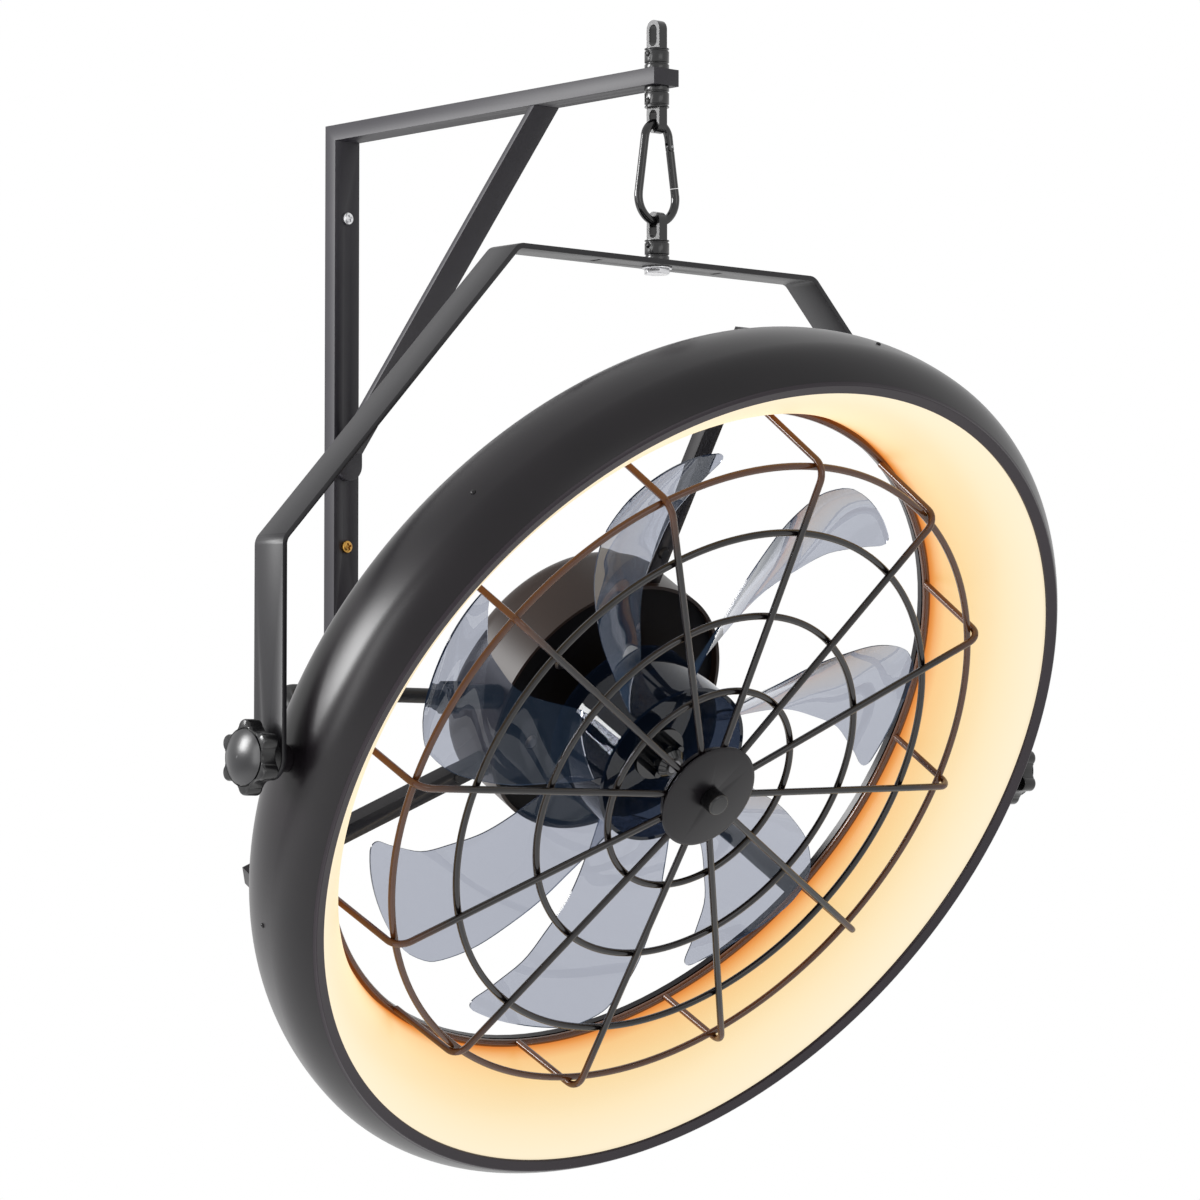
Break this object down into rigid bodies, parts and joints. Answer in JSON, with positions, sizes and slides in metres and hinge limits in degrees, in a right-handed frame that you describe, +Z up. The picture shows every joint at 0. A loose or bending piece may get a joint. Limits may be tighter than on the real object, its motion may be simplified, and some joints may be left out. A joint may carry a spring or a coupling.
{
  "type": "wall fan with light",
  "caption": "Clear-bladed caged fan inside a lit lamp ring, tilting in a bent-bar yoke that hangs from a snap hook and a braced wall bracket",
  "frame": {"origin": "wall face of the post, halfway between the two wall screws", "axes": "+Z up, +Y into the wall, the fan stands out along -Y, +X to the right when looking at the wall"},
  "size_m": [0.5936, 0.4559, 0.6539],
  "materials": {
    "black_steel": "satin black powder coat",
    "hook_steel": "gloss black plating",
    "zinc": "bright zinc plate",
    "pin_steel": "plain steel",
    "guard_steel": "satin black powder coat",
    "lamp_sheet": "satin black powder coat",
    "strut_alloy": "black coated",
    "screw_steel": "plain steel",
    "opal": "opal diffuser",
    "board": "white solder mask",
    "led": "warm phosphor",
    "knob_plastic": "gloss black",
    "cap_metal": "satin black",
    "motor_plastic": "satin black moulding",
    "cover_plastic": "matt black moulding",
    "gland_rubber": "matt black",
    "lead_sheath": "matt black",
    "driver_case": "white case",
    "winding": "lacquered copper over laminations",
    "bearing_steel": "ground steel",
    "core_steel": "plain laminations",
    "clear_smoke": "clear smoky blue-grey",
    "dark_core": "dark moulding"
  },
  "bodies": {
    "bracket": {"bracket_tube": "black_steel", "post_plug": "knob_plastic", "brace": "black_steel", "wall_screws": "zinc", "upper_barrel": "black_steel", "lower_barrel": "black_steel", "barrel_set_screws": "knob_plastic"},
    "top_eye": {"upper_eye": "black_steel"},
    "low_eye": {"hanging_eye": "black_steel"},
    "clip": {"snap_hook": "hook_steel", "gate_pin": "pin_steel"},
    "gate": {"hook_gate": "hook_steel", "gate_plunger": "pin_steel"},
    "turning_eye": {"yoke_eye": "black_steel"},
    "yoke_frame": {"yoke_barrel": "black_steel", "yoke_set_screw": "knob_plastic", "yoke": "black_steel", "yoke_washer": "zinc", "yoke_bolt": "zinc"},
    "head": {"ring_shell": "lamp_sheet", "front_rim": "lamp_sheet", "lamp_back": "lamp_sheet", "back_screws": "screw_steel", "diffuser": "opal", "led_board": "board", "led_chips": "led", "tilt_studs": "pin_steel", "side_spacers": "lamp_sheet", "ring_screws": "screw_steel", "guard_wires": "guard_steel", "guard_rings": "guard_steel", "guard_plate": "guard_steel", "guard_back_plate": "guard_steel", "guard_knob": "knob_plastic", "struts": "strut_alloy", "strut_screws": "screw_steel", "motor_housing": "motor_plastic", "motor_cover": "cover_plastic", "cover_screws": "screw_steel", "lead_gland": "gland_rubber", "lamp_lead": "lead_sheath", "led_driver": "driver_case", "stator": "winding", "front_bearing": "bearing_steel", "rear_bearing": "bearing_steel"},
    "rotor": {"shaft": "pin_steel", "rotor_core": "core_steel", "hub": "clear_smoke", "hub_core": "dark_core", "hub_nut": "dark_core", "blades": "clear_smoke"},
    "left_star": {"left_knob": "knob_plastic", "left_cap": "cap_metal"},
    "right_star": {"right_knob": "knob_plastic", "right_cap": "cap_metal"}
  },
  "joints": [
    {"name": "top_eye_turn", "type": "hinge", "parent": "bracket", "child": "top_eye", "pos_m": [0, -0.2873, 0.1686], "axis": [0, 0, 1], "continuous": true},
    {"name": "hook_eye_turn", "type": "hinge", "parent": "bracket", "child": "low_eye", "pos_m": [0, -0.2873, 0.1351], "axis": [0, 0, 1], "range_deg": [-35, 35]},
    {"name": "hook_swing", "type": "hinge", "parent": "low_eye", "child": "clip", "pos_m": [0, -0.2873, 0.1263], "axis": [1, 0, 0], "range_deg": [-10, 2]},
    {"name": "gate_swing", "type": "hinge", "parent": "clip", "child": "gate", "pos_m": [0.00975, -0.2873, 0.11363], "axis": [0, 1, 0], "range_deg": [0, 25], "stiffness_Nm_per_rad": 0.01, "springref_deg": -34.38},
    {"name": "hook_low_swing", "type": "hinge", "parent": "clip", "child": "turning_eye", "pos_m": [0, -0.2873, 0.07], "axis": [1, 0, 0], "range_deg": [-10, 2]},
    {"name": "yoke_turn", "type": "hinge", "parent": "turning_eye", "child": "yoke_frame", "pos_m": [0, -0.2873, 0.0596], "axis": [0, 0, 1], "range_deg": [-35, 35]},
    {"name": "head_tilt", "type": "hinge", "parent": "yoke_frame", "child": "head", "pos_m": [0, -0.2873, -0.2361], "axis": [1, 0, 0], "range_deg": [-46, 58]},
    {"name": "fan_spin", "type": "hinge", "parent": "head", "child": "rotor", "pos_m": [0, -0.29052, -0.2308], "axis": [0, -0.8545, -0.5195], "continuous": true},
    {"name": "left_knob_turn", "type": "hinge", "parent": "head", "child": "left_star", "pos_m": [-0.2843, -0.2873, -0.2361], "axis": [-1, 0, 0], "continuous": true},
    {"name": "right_knob_turn", "type": "hinge", "parent": "head", "child": "right_star", "pos_m": [0.2843, -0.2873, -0.2361], "axis": [1, 0, 0], "continuous": true}
  ]
}
